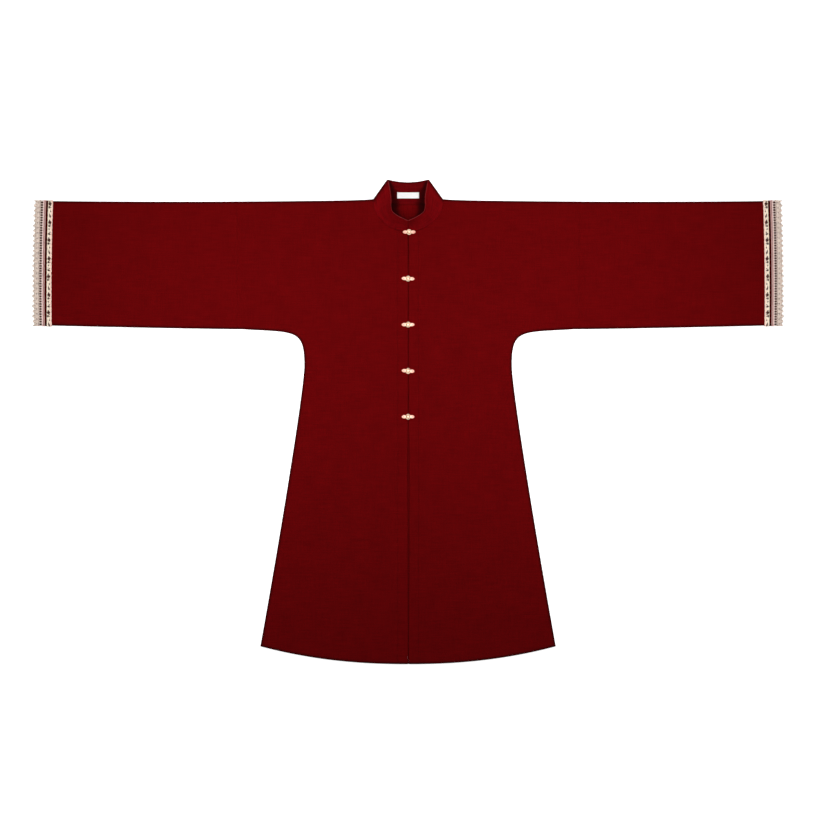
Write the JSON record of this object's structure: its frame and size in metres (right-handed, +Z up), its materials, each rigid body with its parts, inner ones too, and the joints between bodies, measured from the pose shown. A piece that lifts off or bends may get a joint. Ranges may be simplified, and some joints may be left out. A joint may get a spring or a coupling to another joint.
{
  "type": "hanfu robe",
  "caption": "Flat-cut long robe with a stand collar, edge-to-edge front with metal clasps, straight sleeves and lace cuffs, laid out flat",
  "frame": {"origin": "middle of the laid-out robe's box in plan, on the surface it lies on", "axes": "+X towards the wearer's left cuff, +Y towards the collar, +Z up, out of the robe's front"},
  "size_m": [1.8068, 1.1616, 0.0335],
  "materials": {
    "robe_cloth": "soft matt plain-woven cloth, deep red",
    "braid": "flat woven ribbon, cream with bronze flowers",
    "lace": "guipure lace of champagne thread",
    "label_tape": "blank white satin tape",
    "clasp_metal": "cast zinc alloy with pale rose-gold plate"
  },
  "bodies": {
    "root": {"robe_half_left": "robe_cloth", "sleeve_end_left": "robe_cloth", "braid_left": "braid", "lace_left": "lace", "robe_half_right": "robe_cloth", "sleeve_end_right": "robe_cloth", "braid_right": "braid", "lace_right": "lace", "collar": "robe_cloth", "neck_label": "label_tape", "clasp_1_left": "clasp_metal", "clasp_1_right": "clasp_metal", "clasp_2_left": "clasp_metal", "clasp_2_right": "clasp_metal", "clasp_3_left": "clasp_metal", "clasp_3_right": "clasp_metal", "clasp_4_left": "clasp_metal", "clasp_4_right": "clasp_metal", "clasp_5_left": "clasp_metal", "clasp_5_right": "clasp_metal"}
  },
  "joints": []
}
